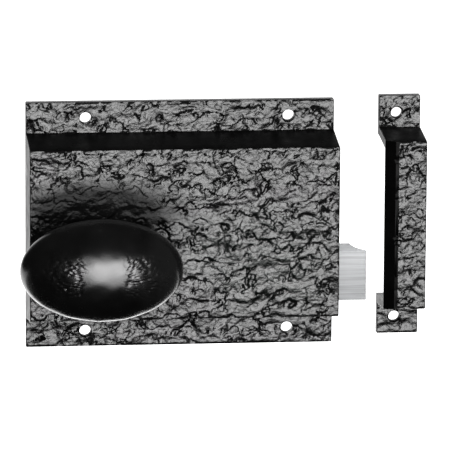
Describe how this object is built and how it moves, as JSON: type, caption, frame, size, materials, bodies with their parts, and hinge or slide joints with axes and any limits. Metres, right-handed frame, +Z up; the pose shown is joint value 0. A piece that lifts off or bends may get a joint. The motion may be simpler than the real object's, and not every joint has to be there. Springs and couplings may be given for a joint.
{
  "type": "rim night latch",
  "caption": "Surface-mounted rim night latch in rough black cast iron, with an oval turn knob, a sprung bevelled latch bolt and a matching open box keep.",
  "frame": {"origin": "centre of the latch case's back, on the face that lies against the door", "axes": "+X from the case towards the keep, -Y out of the case's front towards the person turning the knob, +Z up"},
  "size_m": [0.1684, 0.066, 0.1037],
  "materials": {
    "black_iron": "semi-gloss black enamel on a rough casting",
    "knob_iron": "semi-gloss black enamel, smooth with shallow dents",
    "bolt_steel": "satin grey, brushed along its length",
    "dark_steel": "dull rolled steel",
    "bright_steel": "turned",
    "spring_steel": "drawn wire",
    "brass": "turned"
  },
  "bodies": {
    "latch_case": {"case": "black_iron", "back_plate": "dark_steel", "back_plate_screw_1": "dark_steel", "back_plate_screw_2": "dark_steel", "back_plate_screw_3": "dark_steel", "back_plate_screw_4": "dark_steel", "spindle_bush": "brass", "spring_bracket": "dark_steel", "spring_bracket_screw_1": "bright_steel", "spring_bracket_screw_2": "bright_steel", "tail_guide": "dark_steel", "tail_guide_screw_1": "bright_steel", "tail_guide_screw_2": "bright_steel", "bolt_spring": "spring_steel"},
    "sliding_bolt": {"latch_bolt": "bolt_steel", "bolt_tail": "dark_steel", "bolt_rivet_1": "bright_steel", "bolt_rivet_2": "bright_steel", "spring_guide_rod": "bright_steel"},
    "turning_knob": {"knob": "knob_iron", "knob_grub_screw": "dark_steel", "knob_spindle": "bright_steel", "follower": "dark_steel", "follower_washer": "brass", "spindle_circlip": "spring_steel"},
    "box_keep": {"keep": "black_iron"}
  },
  "joints": [
    {"name": "knob_turn", "type": "hinge", "parent": "latch_case", "child": "turning_knob", "pos_m": [-0.036, 0, -0.0095], "axis": [0, 1, 0], "range_deg": [0, 48.4]},
    {"name": "bolt_slide", "type": "slide", "parent": "latch_case", "child": "sliding_bolt", "axis": [-1, 0, 0], "range_m": [0, 0.0123], "stiffness_N_per_m": 300, "springref_m": -0.02, "deforming": ["bolt_spring"]},
    {"name": "keep_fit", "type": "slide", "parent": "latch_case", "child": "box_keep", "axis": [-0.987, 0, -0.1608], "range_m": [0, 0.01368]}
  ],
  "couplings": [
    {"joint": "bolt_slide", "follows": "knob_turn", "m_per_rad": 0.01456}
  ]
}
